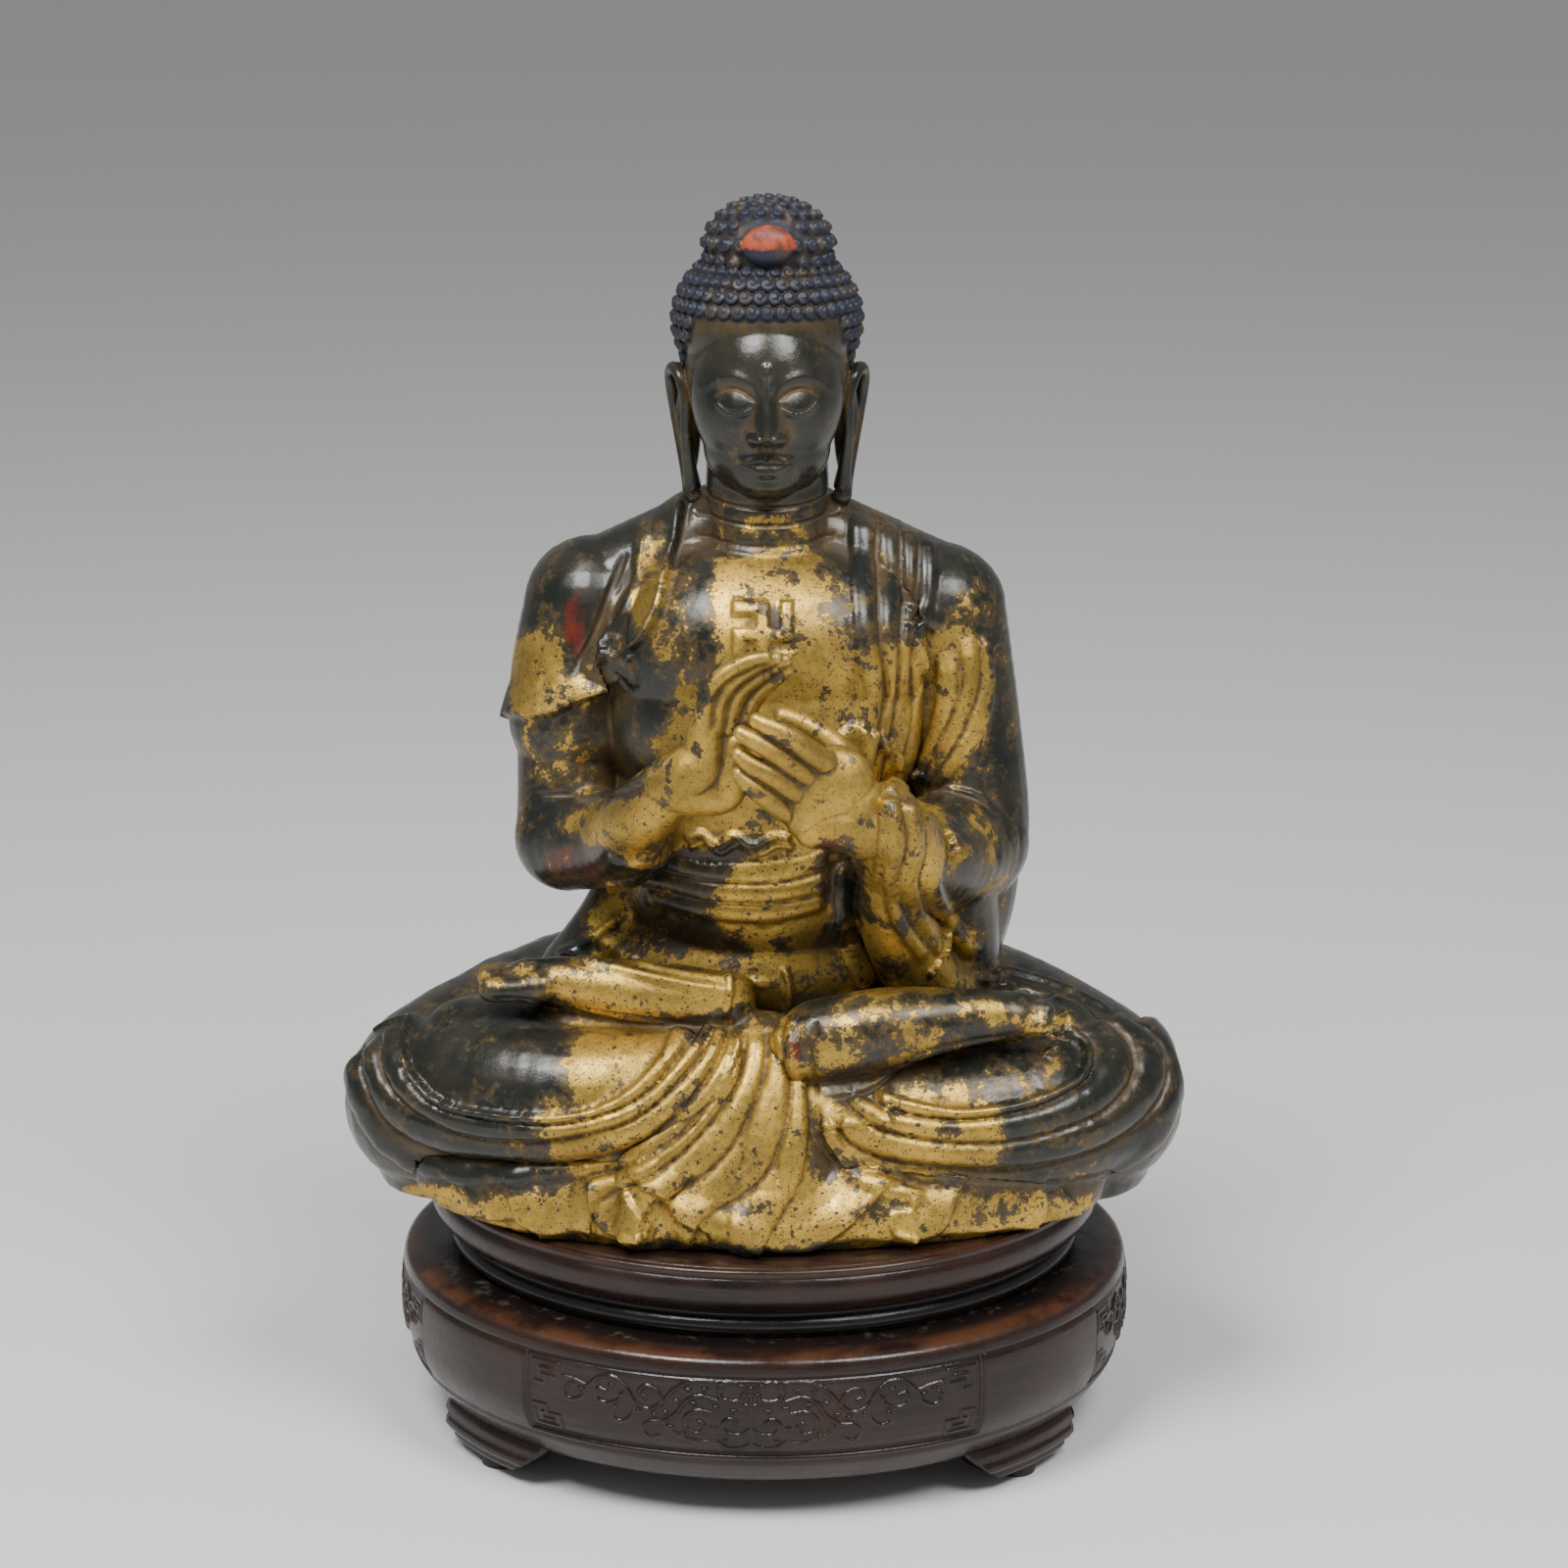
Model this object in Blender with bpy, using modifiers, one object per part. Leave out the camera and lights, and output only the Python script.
# Seated vairocana buddha, a gilt and lacquered bronze, on its oval wooden stand.
# Metres, +Z up. The figure faces -Y, and its right hand is on the viewer's left, at -X.

import math

import bmesh
import bpy
import numpy as np
from mathutils import Euler, Matrix, Vector
from mathutils.bvhtree import BVHTree
from mathutils.kdtree import KDTree

# Driving sizes, in metres
FIGURE_HEIGHT = 0.351
STAND_HEIGHT = 0.094
STAND_WIDTH = 0.269
STAND_DEPTH = 0.2306
STAND_TURN = math.radians(-2)
PAD_RADIUS = 0.0075
PAD_HEIGHT = 0.004
CLEARANCE = 0.0003
FIGURE_TRIANGLES = 7400
DETAIL_SHARE = 0.0003

# The pads' places, as shares of the stand's half width and half depth
PAD_ACROSS = 0.684
PAD_ALONG = 0.512

# The figure is laid out on a grid of 351 steps from its seat to the top of its hair
GRID_STEPS = 351
STEP = FIGURE_HEIGHT / GRID_STEPS

# Drapery lines are drawn on an upright sheet through the figure's axis, 1600 marks square,
# as they look to an eye in front of the figure and a little above it
SHEET_MARKS_PER_STEP = 2.857
SHEET_AXIS = 779
SHEET_MIDDLE = 800
SHEET_LEVEL = 142.9
EYE_DISTANCE = 1330
EYE_PITCH = math.radians(15.8)

VOXEL = 1.4
SOFTEN_STEPS = 8
EDGE_SOFTNESS = 1.6
RUN_STEP = 0.25
FAMILY_OVERLAP = 0.62


def clear_scene():
    for old in list(bpy.data.objects):
        bpy.data.objects.remove(old)


def material(name, colour, roughness, metallic):
    made = bpy.data.materials.new(name)
    made.use_nodes = True
    shader = made.node_tree.nodes["Principled BSDF"]
    shader.inputs["Base Color"].default_value = (*colour, 1)
    shader.inputs["Roughness"].default_value = roughness
    shader.inputs["Metallic"].default_value = metallic
    return made


# The drawing sheet


def sight(u, v):
    """The eye, and the direction in which it sees the sheet's mark (u, v)."""
    cos, sin = math.cos(EYE_PITCH), math.sin(EYE_PITCH)
    eye = Vector((0, -EYE_DISTANCE * cos, SHEET_LEVEL + EYE_DISTANCE * sin))
    focus = SHEET_MARKS_PER_STEP * EYE_DISTANCE
    across = (u - SHEET_AXIS) / focus
    down = (v - SHEET_MIDDLE) / focus
    return eye, Vector((across, cos - down * sin, -sin - down * cos))


def seen(u, v, y, radius=None):
    """The point of depth y that shows at (u, v), with its radius if one is given."""
    eye, ray = sight(u, v)
    point = eye + ray * ((y - eye.y) / ray.y)
    return (*point, radius) if radius else tuple(point)


def eased(points, parts=6):
    """A smooth run through a few points."""
    knots = np.array(points, float)
    knots = np.vstack([2 * knots[0] - knots[1], knots, 2 * knots[-1] - knots[-2]])
    shares = np.arange(parts)[:, None] / parts
    runs = []
    for a, b, c, d in zip(knots, knots[1:], knots[2:], knots[3:]):
        cubic = 3 * b - a - 3 * c + d
        square = 2 * a - 5 * b + 4 * c - d
        runs.append(b + 0.5 * ((c - a) * shares + square * shares**2 + cubic * shares**3))
    return np.vstack([*runs, knots[-2]])


# Base forms, in grid steps

HEAD_AXIS = 1.5


def unit_sphere(around, down):
    sphere = bmesh.new()
    bmesh.ops.create_uvsphere(sphere, u_segments=around, v_segments=down, radius=1)
    bmesh.ops.triangulate(sphere, faces=sphere.faces[:])
    points = np.array([v.co[:] for v in sphere.verts])
    faces = np.array([[v.index for v in f.verts] for f in sphere.faces])
    sphere.free()
    return points, faces


class Masses:
    """Balls and limbs gathered as one mesh, to be fused by a Remesh."""

    def __init__(self):
        self.fine, self.plain = unit_sphere(56, 36), unit_sphere(24, 14)
        self.count = 0
        self.points = []
        self.faces = []

    def ball(self, centre, radii, turn=(0, 0, 0), unit=None):
        points, faces = unit or self.fine
        place = np.array(Euler([math.radians(a) for a in turn]).to_matrix())
        self.points.append(points * np.broadcast_to(radii, 3) @ place.T + centre)
        self.faces.append(faces + self.count)
        self.count += len(points)

    def limb(self, *stations, shape=(1, 1, 1)):
        """A round run through stations (x, y, z, radius); shape flattens its section."""
        path = eased(stations)
        for a, b in zip(path, path[1:]):
            reach = np.linalg.norm(b[:3] - a[:3])
            count = max(1, round(reach / (RUN_STEP * min(a[3], b[3]))))
            for share in np.arange(count) / count:
                x, y, z, radius = a + (b - a) * share
                self.ball((x, y, z), radius * np.array(shape), unit=self.plain)
        self.ball(path[-1][:3], path[-1][3] * np.array(shape), unit=self.plain)

    def fused(self, name):
        mesh = bpy.data.meshes.new(name)
        mesh.from_pydata(np.vstack(self.points), [], np.vstack(self.faces))
        obj = bpy.data.objects.new(name, mesh)
        bpy.context.scene.collection.objects.link(obj)
        fuse = obj.modifiers.new("Fuse", "REMESH")
        fuse.mode = "VOXEL"
        fuse.voxel_size = VOXEL
        soften = obj.modifiers.new("Soften", "SMOOTH")
        soften.factor = 0.5
        soften.iterations = SOFTEN_STEPS
        return obj


def lap(form):
    for side in (-1, 1):
        for level, reach, depth in ((24, 128, 74), (12, 126, 82), (40, 112, 62)):
            form.ball((side * 20, 4, level), (reach, depth, 26))
        form.limb(
            (side * 42, 28, 46, 40),
            (side * 82, 8, 42, 36),
            (side * 112, -14, 34, 34),
            (side * 119, -20, 31, 32),
        )
        form.limb((side * 60, 34, 16, 34), (side * 104, 4, 14, 34), (side * 112, -14, 14, 30))
    form.limb((-122, -26, 38, 26), (-96, -46, 46, 25), (-60, -58, 47, 24), (-18, -56, 50, 22))
    form.limb((-104, -34, 56, 18), (-60, -40, 58, 20), (-20, -44, 58, 18))
    form.limb((122, -26, 36, 26), (96, -46, 38, 26), (62, -56, 38, 24), (24, -58, 40, 22))
    form.limb((104, -30, 54, 18), (62, -40, 52, 20), (24, -44, 54, 18))
    form.limb((-104, -38, 14, 20), (-70, -56, 10, 22), (-30, -66, 10, 22), (0, -68, 10, 22))
    form.limb((104, -38, 14, 20), (70, -56, 10, 22), (30, -66, 10, 22), (0, -68, 10, 22))
    for spread in (-34, -17, 0, 12):
        form.limb(
            (0.1 * spread, -54, 64, 12),
            (0.4 * spread, -64, 46, 15),
            (spread, -70, 24, 16),
            (1.2 * spread, -73, 6, 15),
        )


def feet(form):
    """The soles lie upturned on the opposite thighs."""
    form.limb(
        seen(740, 1022, -50, 11),
        seen(660, 1014, -50, 11),
        seen(590, 1003, -49, 9),
        seen(540, 997, -48, 7),
    )
    form.limb(
        seen(838, 1062, -64, 15),
        seen(900, 1050, -66, 14),
        seen(970, 1040, -62, 11),
        seen(1040, 1034, -56, 8),
    )
    form.ball(seen(536, 996, -50), (11, 11, 7.5), (0, -12, 10))
    form.ball(seen(1052, 1032, -57), (12, 11, 8.5), (0, 10, -10))
    for toe in range(5):
        size = 3.6 if toe == 4 else 2.8
        root, tip = -50 - 2 * toe, -54 - 2 * toe
        form.limb(seen(524, 984 + 5 * toe, root, size), seen(500 - 2 * toe, 984 + 6 * toe, tip, size))
        root, tip = -54 - 2 * toe, -58 - 2 * toe
        form.limb(seen(1064, 1020 + 6 * toe, root, size), seen(1084 + toe, 1020 + 7 * toe, tip, size))


def torso(form):
    form.ball((0, 6, 84), (74, 54, 34))
    form.ball((0, 2, 112), (54, 45, 44))
    form.ball((0, 1, 138), (55, 44, 50))
    form.ball((0, -1, 172), (59, 45, 50))
    form.ball((0, -2, 196), (62, 44, 40))
    form.ball((0, 8, 212), (66, 34, 30))
    for side in (-1, 1):
        form.limb((side * 62, 4, 206, 23), (side * 20, 5, 232, 17), (1, 2, 240, 20))
    form.limb((HEAD_AXIS, 2, 222, 27), (HEAD_AXIS, 0, 242, 22), (HEAD_AXIS, 0, 268, 21))


def bare_arm(form):
    """The figure's right arm, bare below the cape, with its cape laid over the shoulder."""
    form.limb((-62, 4, 206, 22), (-68, 0, 172, 19.5), (-69, -6, 145, 18.5), (-69, -12, 127, 19))
    wrist = seen(690, 800, -76, 10)
    form.limb((-69, -12, 127, 19.5), (-50, -38, 134, 16), seen(655, 832, -64, 12.5), wrist)
    form.limb((-60, 4, 208, 24.5), (-66, 1, 184, 23.5), (-67.5, -2, 168, 23))


def sleeved_arm(form):
    form.limb((62, 4, 206, 24), (68, 0, 170, 23), (73, -4, 135, 22), (74, -8, 122, 20))
    form.limb((74, -8, 124, 21), (58, -38, 128, 20), (46, -62, 136, 16), seen(905, 838, -80, 13))
    form.limb((72, 2, 122, 21), (71, 4, 100, 20), (66, 6, 78, 19))
    form.limb((62, -20, 122, 20), (66, -14, 100, 18), (68, -10, 76, 17))
    form.limb((44, -60, 126, 11), (46, -46, 104, 12), (56, -34, 82, 13), (66, -28, 70, 12))


def right_hand(form):
    """Palm to the side, fingers rising past the chest."""
    form.limb(seen(690, 800, -76, 10), seen(716, 768, -80, 9.5), seen(728, 745, -81, 8))
    form.limb(seen(712, 812, -78, 9), seen(744, 792, -76, 8.5), seen(748, 770, -76, 6))
    fingers = (
        ((716, 738), (727, 706), (747, 684), (775, 673)),
        ((731, 738), (742, 708), (762, 690), (790, 675)),
        ((745, 738), (755, 712), (772, 696), (799, 679)),
        ((757, 742), (768, 720), (782, 702), (803, 690)),
    )
    for row, finger in enumerate(fingers):
        radii = (4.4, 4, 3.7, 3.2)
        form.limb(*(seen(u, v, -82 + 5 * row, r) for (u, v), r in zip(finger, radii)))


def left_hand(form):
    """Back of the hand to the viewer, fingers crossing in front of the right palm."""
    form.ball(seen(848, 812, -86), (14, 8, 17), (0, 35, 0))
    form.limb(seen(905, 838, -80, 13), seen(875, 842, -82, 12), seen(840, 832, -86, 9))
    fingers = (
        ((842, 782), (822, 763), (795, 747), (771, 735)),
        ((838, 795), (815, 777), (788, 760), (760, 745)),
        ((830, 812), (806, 800), (782, 784), (758, 768)),
        ((822, 832), (800, 822), (778, 806), (757, 790)),
    )
    for row, finger in enumerate(fingers):
        radii = (5, 4.6, 4.1, 3.4)
        form.limb(*(seen(u, v, -93 + 2 * row, r) for (u, v), r in zip(finger, radii)))
    form.limb(
        seen(868, 800, -84, 7),
        seen(842, 764, -82, 5),
        seen(812, 740, -80, 4.5),
        seen(802, 735, -79, 4.5),
    )


def head(form):
    """Textbook proportions: an egg under a cap of hair, with long ears."""
    form.ball((HEAD_AXIS, 4, 294), (28.5, 33, 33))
    form.ball((HEAD_AXIS, -8, 283), (26, 26, 29))
    form.ball((HEAD_AXIS, -20, 263), (13, 13, 9))
    form.ball((HEAD_AXIS, 5, 303), (31.5, 34, 25))
    form.ball((2, 8, 327), (22, 22, 21))
    form.limb((HEAD_AXIS, -33, 288, 2.2), (HEAD_AXIS, -35.5, 279, 2.8), (HEAD_AXIS, -37, 272.5, 3.6))
    form.ball((HEAD_AXIS, -31.5, 266), (7, 3.6, 1.8))
    form.ball((HEAD_AXIS, -31, 262.5), (5.5, 3.6, 2))
    form.ball((HEAD_AXIS, -28, 255), (6, 6, 4.5))
    for side in (-1, 1):
        form.ball((HEAD_AXIS + side * 11, -29.5, 281), (7, 4, 2.8))
        form.limb(
            (HEAD_AXIS + side * 4, -33, 288, 1.6),
            (HEAD_AXIS + side * 12, -31, 291, 1.8),
            (HEAD_AXIS + side * 19, -26, 288, 1.5),
        )
        form.limb(
            (HEAD_AXIS + side * 32.5, 0, 291, 3.5),
            (HEAD_AXIS + side * 33, 3, 283, 4.5),
            (HEAD_AXIS + side * 31, 3, 270, 4),
            (HEAD_AXIS + side * 28, 0, 256, 3.6),
            (HEAD_AXIS + side * 27, -2, 250, 4),
        )


# Drapery, as heights added to the fused form


class Relief:
    """Heights over a form's surface, in grid steps, gathered fold by fold."""

    def __init__(self, mesh):
        self.mesh = mesh
        self.points = np.empty(len(mesh.vertices) * 3, np.float32)
        mesh.vertices.foreach_get("co", self.points)
        self.points = self.points.reshape(-1, 3).astype(float)
        self.normals = np.array([n.vector[:] for n in mesh.vertex_normals])
        faces = [tuple(p.vertices) for p in mesh.polygons]
        self.surface = BVHTree.FromPolygons(self.points.tolist(), faces)
        self.height = np.zeros(len(self.points))

    def laid(self, drawn):
        """A line of sheet marks, laid on the surface that the eye sees."""
        found = []
        for u, v in eased(drawn, 8):
            hit = self.surface.ray_cast(*sight(u, v))[0]
            if hit is not None:
                found.append(hit[:])
        return np.array(found)

    def nearest(self, line, reach):
        """For the points within reach of a line: which, how far, the share of its length, the place."""
        near = np.all((self.points > line.min(0) - reach) & (self.points < line.max(0) + reach), 1)
        which = np.flatnonzero(near)
        points = self.points[which]
        best = np.full(len(which), 1e9)
        share = np.zeros(len(which))
        place = np.zeros((len(which), 3))
        for k, (a, b) in enumerate(zip(line, line[1:])):
            run = b - a
            t = np.clip((points - a) @ run / max(run @ run, 1e-9), 0, 1)
            foot = a + t[:, None] * run
            away = np.linalg.norm(points - foot, axis=1)
            closer = away < best
            best[closer] = away[closer]
            share[closer] = (k + t[closer]) / (len(line) - 1)
            place[closer] = foot[closer]
        return which, best, share, place

    def ridge(self, drawn, width, height, fade=0.15):
        """A rounded fold along a drawn line, dying away at its ends; a negative height is a furrow."""
        which, away, share, _ = self.nearest(self.laid(drawn), width)
        ends = np.clip(np.minimum(share, 1 - share) / fade, 0, 1) if fade else 1
        swell = np.clip(1 - (away / width) ** 2, 0, 1) ** 2
        self.height[which] += height * swell * ends

    def folds(self, first, last, count, height, fade=0.15):
        """Nested folds that change evenly from the first drawn line to the last."""
        first, last = eased(first, 4), eased(last, 4)
        marks = np.linspace(0, 1, max(len(first), len(last)))

        def paced(line):
            own = np.linspace(0, 1, len(line))
            return np.stack([np.interp(marks, own, line[:, k]) for k in (0, 1)], 1)

        first, last = paced(first), paced(last)
        apart = np.linalg.norm((first - last).mean(0)) / max(count - 1, 1)
        apart = max(apart, np.linalg.norm(first - last, axis=1).mean() / max(count - 1, 1))
        width = FAMILY_OVERLAP * apart / SHEET_MARKS_PER_STEP
        for k in range(count):
            line = first + (last - first) * k / max(count - 1, 1)
            self.ridge(line[::3], width, height, fade)

    def edge(self, drawn, towards, height, reach):
        """A cloth edge: the side facing the drawn point (u, v) stands proud and eases off over reach."""
        line = self.laid(drawn)
        inside = self.laid([towards, (towards[0] + 2, towards[1])])[0]
        which, away, share, place = self.nearest(line, reach)
        offset = self.points[which] - place
        across = inside - line[np.linalg.norm(line - inside, axis=1).argmin()]
        side = np.sign(offset @ across)
        lip = np.clip(0.5 + 0.5 * side * away / EDGE_SOFTNESS, 0, 1)
        self.height[which] += height * lip * np.where(side > 0, np.clip(1 - away / reach, 0, 1), 1)

    def dome(self, centre, radius, height, finder):
        for _, index, away in finder.find_range(centre, radius):
            self.height[index] = max(self.height[index], height * math.sqrt(1 - (away / radius) ** 2))

    def apply(self):
        moved = self.points + self.normals * self.height[:, None]
        self.mesh.vertices.foreach_set("co", moved.astype(np.float32).ravel())
        self.mesh.update()


SHIN_LEFT = [(700, 1046), (640, 1112), (560, 1146), (470, 1136), (424, 1098), (414, 1056)]
KNEE_LEFT = [(750, 1050), (730, 1130), (650, 1196), (530, 1206), (410, 1172), (366, 1120), (366, 1070)]
SHIN_RIGHT = [(884, 1112), (938, 1136), (1019, 1145), (1088, 1124), (1114, 1088), (1100, 1050)]
KNEE_RIGHT = [
    (846, 1140),
    (900, 1180),
    (1010, 1200),
    (1115, 1190),
    (1172, 1135),
    (1165, 1070),
    (1140, 1030),
]
LOBE_LEFT = [(696, 1040), (577, 1032), (450, 1030), (416, 1060)]
LOBE_RIGHT = [(905, 1106), (950, 1074), (1019, 1058), (1076, 1056), (1104, 1078)]
PLEAT_FIRST = [(732, 1046), (712, 1110), (640, 1180), (560, 1206)]
PLEAT_LAST = [(808, 1050), (822, 1120), (812, 1190), (786, 1240)]
SWEEP_FIRST = [(838, 1132), (880, 1184), (961, 1207), (1050, 1213)]
SWEEP_LAST = [(834, 1160), (850, 1205), (900, 1236), (960, 1246)]
SHOULDER_FIRST = [(866, 520), (867, 600), (874, 690), (892, 770), (905, 812)]
SHOULDER_LAST = [(950, 548), (952, 620), (940, 700), (932, 765), (936, 808)]
FAN_FIRST = [(955, 640), (960, 700), (950, 760), (940, 812)]
FAN_LAST = [(1008, 640), (1012, 700), (985, 770), (950, 812)]
SLEEVE_FIRST = [(905, 830), (912, 890), (930, 940), (960, 985), (1000, 1000)]
SLEEVE_LAST = [(962, 836), (950, 890), (962, 940), (985, 975), (1012, 990)]
CAPE_EDGE = [(703, 512), (696, 570), (684, 630), (668, 664), (640, 672)]
CAPE_HEM = [(640, 690), (600, 722), (560, 734), (522, 736)]
CAPE_FIRST = [(660, 525), (652, 590), (628, 660)]
CAPE_LAST = [(640, 545), (618, 640), (590, 700)]
SLEEVE_RIDGE = [(962, 806), (1000, 812), (1030, 838), (1042, 866)]
HANGING_CORD = [(852, 890), (862, 920), (862, 970), (880, 1000)]


def drape(relief):
    relief.folds(SHIN_LEFT, KNEE_LEFT, 4, 3.4, 0.08)
    relief.folds(SHIN_RIGHT, KNEE_RIGHT, 4, 3.4, 0.08)
    relief.ridge(LOBE_LEFT, 4, -1.2)
    relief.ridge(LOBE_RIGHT, 4, -1.2)
    relief.folds(PLEAT_FIRST, PLEAT_LAST, 4, 3)
    relief.folds(SWEEP_FIRST, SWEEP_LAST, 2, 2.6)
    relief.folds(SHOULDER_FIRST, SHOULDER_LAST, 4, 2.8, 0.08)
    relief.folds(FAN_FIRST, FAN_LAST, 3, 2.2)
    relief.folds(SLEEVE_FIRST, SLEEVE_LAST, 3, 3, 0.06)
    relief.edge(CAPE_EDGE, (650, 600), 3, 16)
    relief.edge(CAPE_HEM, (590, 690), 2.4, 12)
    relief.folds(CAPE_FIRST, CAPE_LAST, 2, 1.8)
    relief.ridge(SLEEVE_RIDGE, 4, 1.6)
    relief.ridge(HANGING_CORD, 5, 3)
    belts(relief)
    hem_scallops(relief)
    back_folds(relief)


def belts(relief):
    """Three wound bands under a ruffled top, round the front of the waist."""
    x, y, z = relief.points.T
    ahead = (np.abs(x + 8) < 48) & (y < -18) & (y > -58) & (relief.normals[:, 1] < -0.25)
    for level, half, height in ((127, 4, 3.2), (117, 3.6, 2.6), (108, 3.6, 2.6), (98, 4, 2.4)):
        ruffle = 1.2 * np.sin(x * 0.33) * (level == 127)
        swell = np.clip(1 - ((z - level - ruffle) / half) ** 2, 0, 1)
        relief.height += np.where(ahead, height * swell, 0)


def hem_scallops(relief):
    """The wavy lower border under the knees and across the front."""
    x, y, z = relief.points.T
    turn = np.arctan2(x, -y)
    low = np.clip(1 - np.abs(z - HEM_LEVEL) / HEM_LEVEL, 0, 1) * (y < 20)
    relief.height += 2.2 * low * np.cos(turn * 17)


def back_folds(relief):
    """Plain diagonal folds of the robe over the back, from the left shoulder down."""
    x, y, z = relief.points.T
    behind = np.clip(1.4 * relief.normals[:, 1], 0, 1) * np.clip((z - 50) / 20, 0, 1) * (z < 228)
    phase = (0.9 * z - 0.75 * x + 0.004 * x * x) / BACK_FOLD_PITCH
    relief.height += BACK_FOLD_RISE * behind * np.cos(2 * math.pi * phase)


HEM_LEVEL = 8
BACK_FOLD_PITCH = 26
BACK_FOLD_RISE = 1.5
CURL_PITCH = 7.6
CURL_RADIUS = 3.7
CURL_RISE = 3
CURL_SEARCH = 80
STEEPEST_ROW = 1.5

# Centre, radius, and lowest and highest level of the hair's two domes; the cap ends at the hairline
CAP = (Vector((HEAD_AXIS, 5, 300)), 33, None, 320)
BUN = (Vector((2, 8, 326)), 22, 322, GRID_STEPS)


def curls(relief):
    """Rows of snail curls over the cap of hair and the raised bun, and the jewel between them."""
    finder = KDTree(len(relief.points))
    for index, point in enumerate(relief.points):
        finder.insert(point, index)
    finder.balance()
    for centre, radius, lowest, highest in (CAP, BUN):
        rows = round(0.5 * math.pi * radius / CURL_PITCH)
        for row in range(-3, rows + 1):
            rise = 0.5 * math.pi * row / rows
            count = max(1, round(2 * math.pi * radius * math.cos(rise) / CURL_PITCH))
            for k in range(count):
                turn = 2 * math.pi * (k + 0.5 * (row % 2)) / count
                away = Vector((math.sin(turn), -math.cos(turn), math.tan(min(rise, STEEPEST_ROW))))
                away.normalize()
                spot = relief.surface.ray_cast(centre + away * CURL_SEARCH, -away)[0]
                floor = hairline(turn) if lowest is None else lowest
                if spot is not None and floor < spot.z < highest:
                    relief.dome(spot, CURL_RADIUS, CURL_RISE, finder)
    jewel = relief.surface.ray_cast(*sight(783, 246))[0]
    relief.dome(jewel, 6, 5, finder)


def hairline(turn):
    """How low the hair comes at a turn from the front: over the brow, before the ears, at the nape."""
    side = abs((turn + math.pi) % (2 * math.pi) - math.pi)
    return float(np.interp(side, (0, 0.8, 1.25, 1.6, 2.2, math.pi), (306, 303, 294, 286, 268, 262)))


def figure(parts, bronze):
    form = Masses()
    for build in (lap, feet, torso, bare_arm, sleeved_arm, right_hand, left_hand, head):
        build(form)
    obj = form.fused("buddha_figure")
    relief = Relief(evaluated(obj))
    drape(relief)
    curls(relief)
    relief.apply()
    obj.modifiers.clear()
    obj.data = relief.mesh
    obj.data.transform(Matrix.Diagonal((STEP, STEP, STEP, 1)))
    obj.location.z = STAND_HEIGHT + CLEARANCE
    plain = obj.vertex_groups.new(name="plain")
    for weight, chosen in detail_zones(relief):
        plain.add(np.flatnonzero(chosen).tolist(), weight, "REPLACE")
    thin = obj.modifiers.new("Thin", "DECIMATE")
    thin.vertex_group = plain.name
    thin.vertex_group_factor = DETAIL_SHARE
    thin.ratio = FIGURE_TRIANGLES / sum(len(p.vertices) - 2 for p in obj.data.polygons)
    flat = obj.modifiers.new("Flat seat", "BOOLEAN")
    size = 2 * FIGURE_HEIGHT
    flat.object = cutter("seat_cut", (0, 0, STAND_HEIGHT + CLEARANCE - size / 2), (size, size, size))
    settle(obj, parts, bronze)


def detail_zones(relief):
    """Weights for thinning: 1 on plain ground, less where curls, fingers and folds keep triangles."""
    x, y, z = relief.points.T
    hair = (relief.height > 0.2) & (z > 285)
    hands = (y < -66) & (z > 130)
    folds = ~hair & ~hands & (np.abs(relief.height) > 0.4) & (y < 0)
    return (1, ~(hair | hands | folds)), (0.5, folds), (0.2, hair), (0.2, hands)


def evaluated(obj):
    graph = bpy.context.evaluated_depsgraph_get()
    return bpy.data.meshes.new_from_object(obj.evaluated_get(graph))


def settle(obj, parts, finish):
    for holder in obj.users_collection:
        holder.objects.unlink(obj)
    parts.objects.link(obj)
    obj.data.materials.clear()
    obj.data.materials.append(finish)
    obj.data.shade_smooth()


def cutter(name, centre, size):
    bpy.ops.mesh.primitive_cube_add(size=1, location=centre)
    box = bpy.context.object
    box.name = name
    box.data.transform(Matrix.Diagonal((*size, 1)))
    put_with_cutters(box)
    return box


def put_with_cutters(obj):
    for holder in obj.users_collection:
        holder.objects.unlink(obj)
    bpy.data.collections["cutters"].objects.link(obj)
    obj.hide_render = True
    obj.display_type = "WIRE"


# The stand

RADIUS = STAND_WIDTH / 2
SQUEEZE = STAND_DEPTH / STAND_WIDTH

# The gaps between the feet: half their widths at the top and the bottom, where they start and
# how far they reach, all as shares of the stand's half width, and their top as one of its height
FRONT_GAP = (0.565, 0.743)
SIDE_GAP = (0.327, 0.446)
GAP_START = 0.149
GAP_REACH = 1.19
GAP_TOP = 0.181
STAND_SIDES = 52
PANEL_SIDES = 12
SIDE_PANEL_SIDES = 8
PANEL_LOW = 0.32
PANEL_HIGH = 0.64
PANEL_DEPTH = 0.008
VINE_WIDTH = 0.0014
VINE_SINK = 0.3 * VINE_WIDTH
VINE_PARTS = 6
VINE_SWING = 0.07
STAND_PROFILE = [
    (0.00, 1.000),
    (0.868, 1.000),
    (0.874, 0.985),
    (0.882, 0.997),
    (0.902, 0.980),
    (0.907, 0.950),
    (0.898, 0.855),
    (0.838, 0.790),
    (0.838, 0.745),
    (0.826, 0.715),
    (0.968, 0.694),
    (0.984, 0.660),
    (1.000, 0.540),
    (1.000, 0.440),
    (0.982, 0.335),
    (0.945, 0.235),
    (0.912, 0.170),
    (0.00, 0.170),
]
FOOT_LEVEL = (PAD_HEIGHT + CLEARANCE) / STAND_HEIGHT
FOOT_PROFILE = [
    (0.900, 0.200),
    (0.916, 0.140),
    (0.934, 0.085),
    (0.900, FOOT_LEVEL),
    (0.760, FOOT_LEVEL),
    (0.760, 0.200),
]


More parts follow.
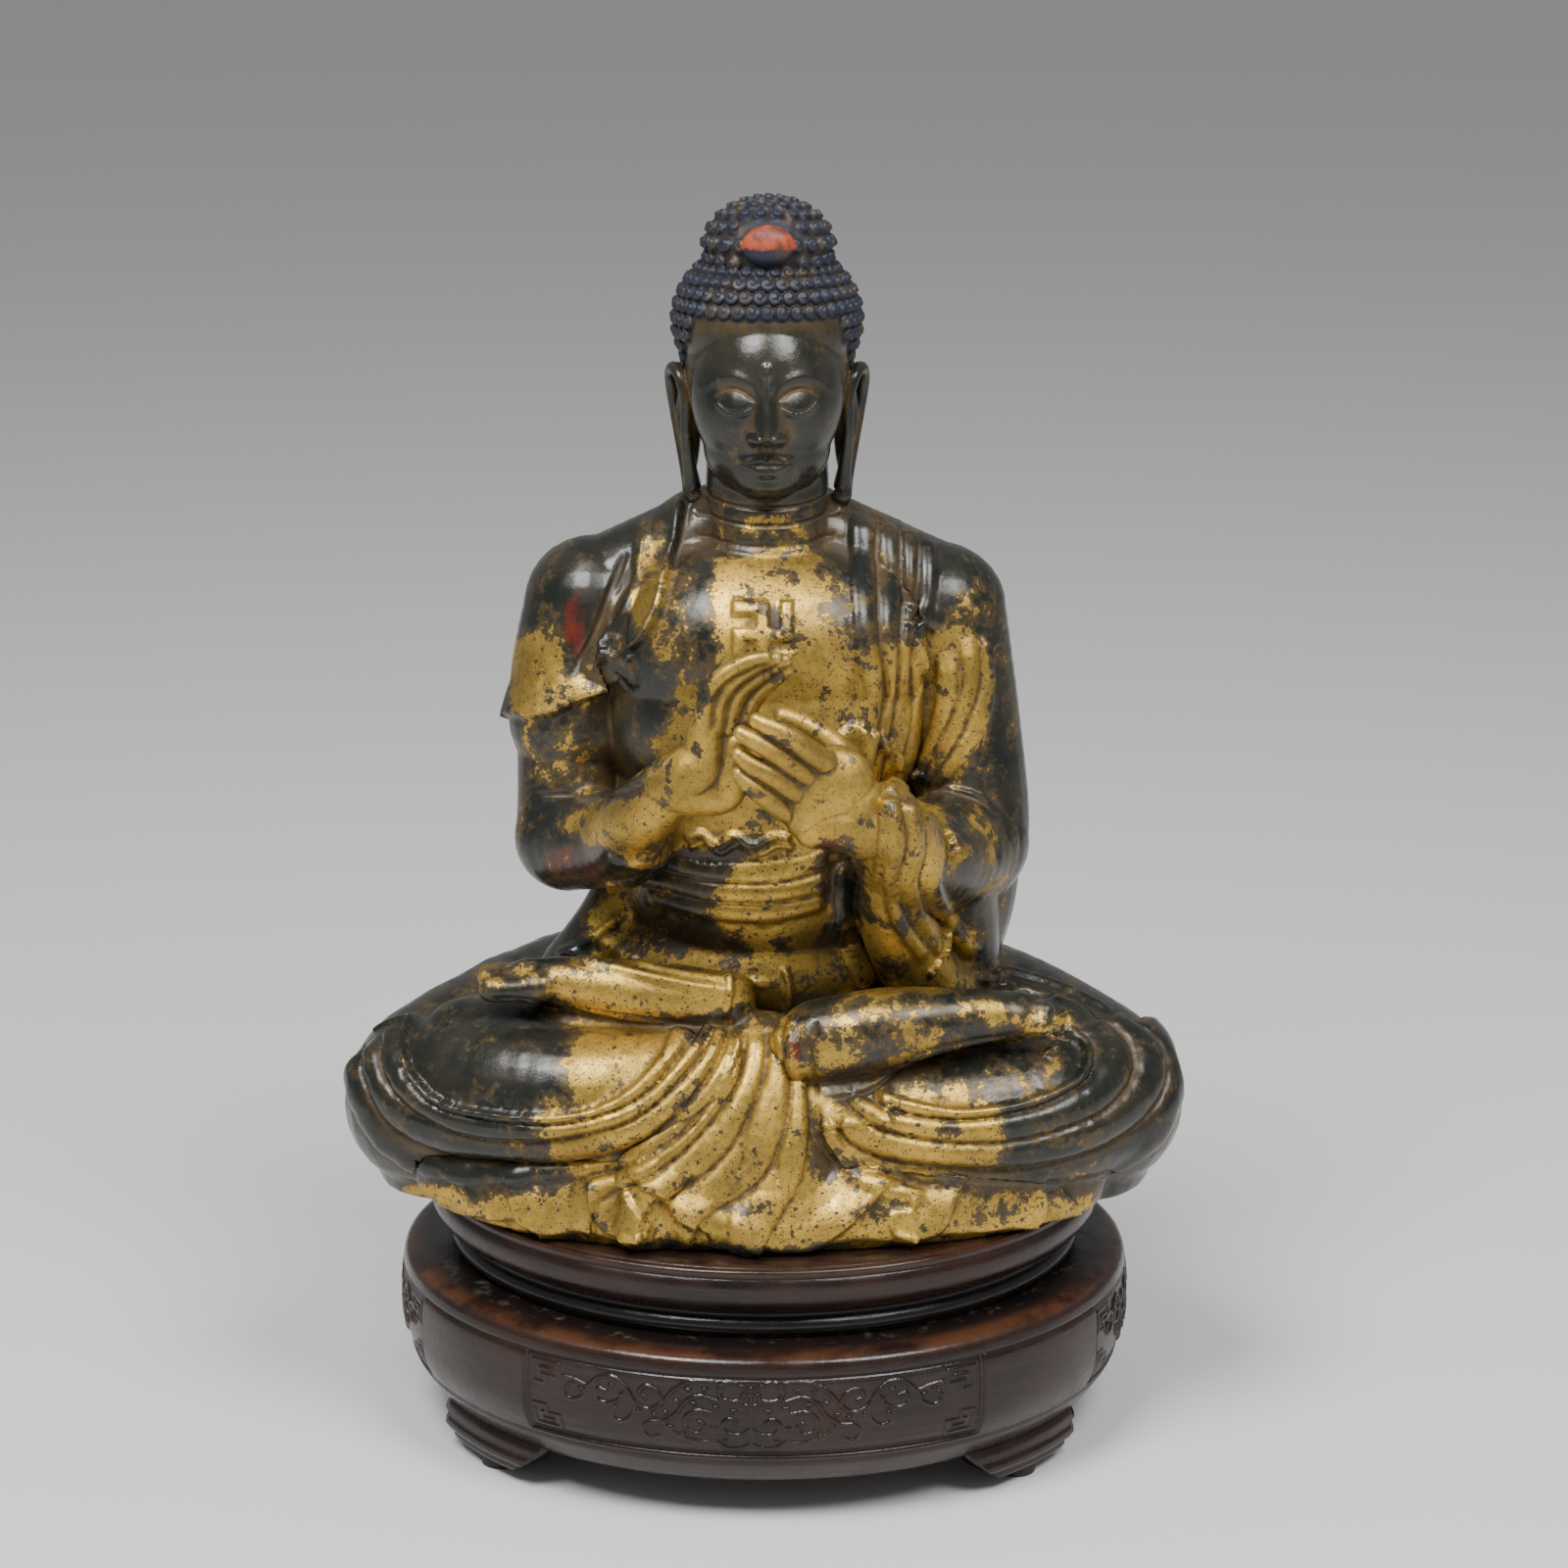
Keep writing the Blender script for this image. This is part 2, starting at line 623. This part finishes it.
def turned(name, profile, steps, start=0.0, sweep=2 * math.pi):
    """A profile of (share of the radius, share of the height) turned about Z, then made oval."""
    outline = bmesh.new()
    corners = [outline.verts.new((RADIUS * r, 0, STAND_HEIGHT * z)) for r, z in profile]
    for a, b in zip(corners, corners[1:]):
        outline.edges.new((a, b))
    if profile[0][0] > 0:
        outline.edges.new((corners[-1], corners[0]))
    mesh = bpy.data.meshes.new(name)
    outline.to_mesh(mesh)
    outline.free()
    obj = bpy.data.objects.new(name, mesh)
    bpy.context.scene.collection.objects.link(obj)
    turn = obj.modifiers.new("Turn", "SCREW")
    turn.angle = sweep
    turn.steps = turn.render_steps = steps
    turn.use_merge_vertices = True
    turn.merge_threshold = 0.00001
    mesh = evaluated(obj)
    bpy.data.objects.remove(obj)
    mesh.transform(Matrix.Diagonal((1, SQUEEZE, 1, 1)) @ Matrix.Rotation(start, 4, "Z"))
    obj = bpy.data.objects.new(name, mesh)
    bpy.context.scene.collection.objects.link(obj)
    return obj


def stand(parts, wood):
    body = turned("wooden_stand", STAND_PROFILE, STAND_SIDES)
    body.rotation_euler.z = STAND_TURN
    feet_ring = turned("feet_ring", FOOT_PROFILE, STAND_SIDES)
    for quarter in range(4):
        cut = feet_ring.modifiers.new("Gap", "BOOLEAN")
        cut.object = foot_gap(quarter)
    feet_ring.rotation_euler.z = STAND_TURN
    put_with_cutters(feet_ring)
    join = body.modifiers.new("Feet", "BOOLEAN")
    join.operation = "UNION"
    join.object = feet_ring
    for turn in range(4):
        carve_panel(body, turn)
    settle(body, parts, wood)


def carve_panel(body, turn):
    """A sunk field on one side of the drum, with a scrolling vine along it."""
    sides = PANEL_SIDES if turn % 2 == 0 else SIDE_PANEL_SIDES
    half = math.pi * sides / STAND_SIDES
    middle = turn * 0.5 * math.pi - 0.5 * math.pi
    field = [(r - PANEL_DEPTH, z) for r, z in STAND_PROFILE if PANEL_LOW < z < PANEL_HIGH]
    low = (drum_radius(PANEL_LOW) - PANEL_DEPTH, PANEL_LOW)
    high = (drum_radius(PANEL_HIGH) - PANEL_DEPTH, PANEL_HIGH)
    outline = [(1.05, PANEL_HIGH), (1.05, PANEL_LOW), low, *reversed(field), high]
    sink = turned("panel_cut", outline, sides, middle - half, 2 * half)
    close_ends(sink)
    sink.rotation_euler.z = STAND_TURN
    put_with_cutters(sink)
    cut = body.modifiers.new("Panel", "BOOLEAN")
    cut.object = sink
    vine = vine_mesh(middle, half, sides)
    vine.rotation_euler.z = STAND_TURN
    put_with_cutters(vine)
    add = body.modifiers.new("Vine", "BOOLEAN")
    add.operation = "UNION"
    add.object = vine


def drum_radius(level):
    """The drum's radius at a share of the stand's height."""
    drum = sorted((z, r) for r, z in STAND_PROFILE if 0.24 < z < 0.7 and r > 0.9)
    return float(np.interp(level, *zip(*drum)))


def close_ends(obj):
    shape = bmesh.new()
    shape.from_mesh(obj.data)
    bmesh.ops.holes_fill(shape, edges=[e for e in shape.edges if e.is_boundary])
    bmesh.ops.recalc_face_normals(shape, faces=shape.faces)
    shape.to_mesh(obj.data)
    shape.free()


def vine_mesh(middle, half, sides):
    """A waving stem along the sunk field, its crest over the middle."""
    waves = 3 if sides == PANEL_SIDES else 2
    centre = 0.5 * (PANEL_LOW + PANEL_HIGH)
    marks = []
    for share in np.linspace(-1, 1, VINE_PARTS * waves + 1):
        rise = centre + VINE_SWING * math.cos(math.pi * waves * share)
        marks.append((middle + 0.82 * half * share, rise))
    drawn = bpy.data.curves.new("vine", "CURVE")
    drawn.dimensions = "3D"
    drawn.bevel_depth = VINE_WIDTH
    drawn.bevel_resolution = 0
    drawn.use_fill_caps = True
    stem = drawn.splines.new("POLY")
    stem.points.add(len(marks) - 1)
    for point, (turn, level) in zip(stem.points, marks):
        radius = RADIUS * (drum_radius(level) - PANEL_DEPTH) - VINE_SINK
        x, y = radius * math.cos(turn), SQUEEZE * radius * math.sin(turn)
        point.co = (x, y, STAND_HEIGHT * level, 1)
    guide = bpy.data.objects.new("vine", drawn)
    bpy.context.scene.collection.objects.link(guide)
    mesh = evaluated(guide)
    bpy.data.objects.remove(guide)
    shape = bmesh.new()
    shape.from_mesh(mesh)
    bmesh.ops.remove_doubles(shape, verts=shape.verts, dist=0.00001)
    shape.to_mesh(mesh)
    shape.free()
    made = bpy.data.objects.new("vine", mesh)
    bpy.context.scene.collection.objects.link(made)
    return made


def foot_gap(quarter):
    """A slanting cutter that leaves a raked end on the feet at each side of it."""
    top_half, low_half = SIDE_GAP if quarter % 2 else FRONT_GAP
    bpy.ops.mesh.primitive_cube_add(size=1)
    box = bpy.context.object
    box.name = "foot_gap"
    for vertex in box.data.vertices:
        top = vertex.co.z > 0
        vertex.co.x = math.copysign(RADIUS * (top_half if top else low_half), vertex.co.x)
        vertex.co.y = RADIUS * (GAP_REACH if vertex.co.y > 0 else GAP_START)
        vertex.co.z = STAND_HEIGHT * (GAP_TOP if top else -GAP_TOP)
    box.rotation_euler.z = STAND_TURN + quarter * 0.5 * math.pi
    put_with_cutters(box)
    return box


def pads(parts, rubber):
    for front in (-1, 1):
        for side in (-1, 1):
            place = ("front" if front < 0 else "back") + ("_left" if side < 0 else "_right")
            bpy.ops.mesh.primitive_cylinder_add(vertices=20, radius=PAD_RADIUS, depth=PAD_HEIGHT)
            pad = bpy.context.object
            pad.name = "foot_pad_" + place
            across = side * PAD_ACROSS * STAND_WIDTH / 2
            along = front * PAD_ALONG * STAND_DEPTH / 2
            spot = Vector((across, along, PAD_HEIGHT / 2))
            spot.rotate(Euler((0, 0, STAND_TURN)))
            pad.location = spot
            settle(pad, parts, rubber)


def main():
    clear_scene()
    parts = bpy.data.collections.new("vairocana_buddha_statue")
    cutters = bpy.data.collections.new("cutters")
    for holder in (parts, cutters):
        bpy.context.scene.collection.children.link(holder)
    figure(parts, material("gilt_bronze", (0.16, 0.12, 0.05), 0.4, 0.7))
    stand(parts, material("dark_hardwood", (0.045, 0.02, 0.014), 0.35, 0.0))
    pads(parts, material("black_rubber", (0.012, 0.012, 0.012), 0.6, 0.0))


main()
